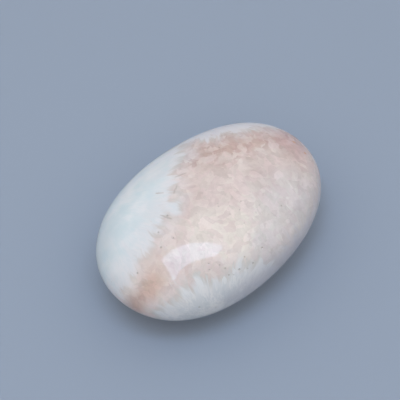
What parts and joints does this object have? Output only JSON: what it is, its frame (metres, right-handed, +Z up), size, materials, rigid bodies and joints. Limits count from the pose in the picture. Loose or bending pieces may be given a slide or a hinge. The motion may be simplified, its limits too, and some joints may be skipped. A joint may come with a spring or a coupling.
{
  "type": "polished scolecite palm stone",
  "caption": "Smooth oval palm stone of polished scolecite, pale blue-white and peach, domed on both sides, resting on a small lapped flat.",
  "frame": {"origin": "centre of the oval plan, at the level of the resting flat", "axes": "+X along the stone's length, towards its narrower end; +Y across its width; +Z up, through the crown"},
  "size_m": [0.066, 0.0448, 0.025],
  "materials": {
    "polished_stone": "gloss-polished, pale fibrous mineral: milky blue-white sprays and a peach-pink mottled heart, with small rust specks and a few pits"
  },
  "bodies": {
    "root": {"scolecite_stone": "polished_stone"}
  },
  "joints": []
}
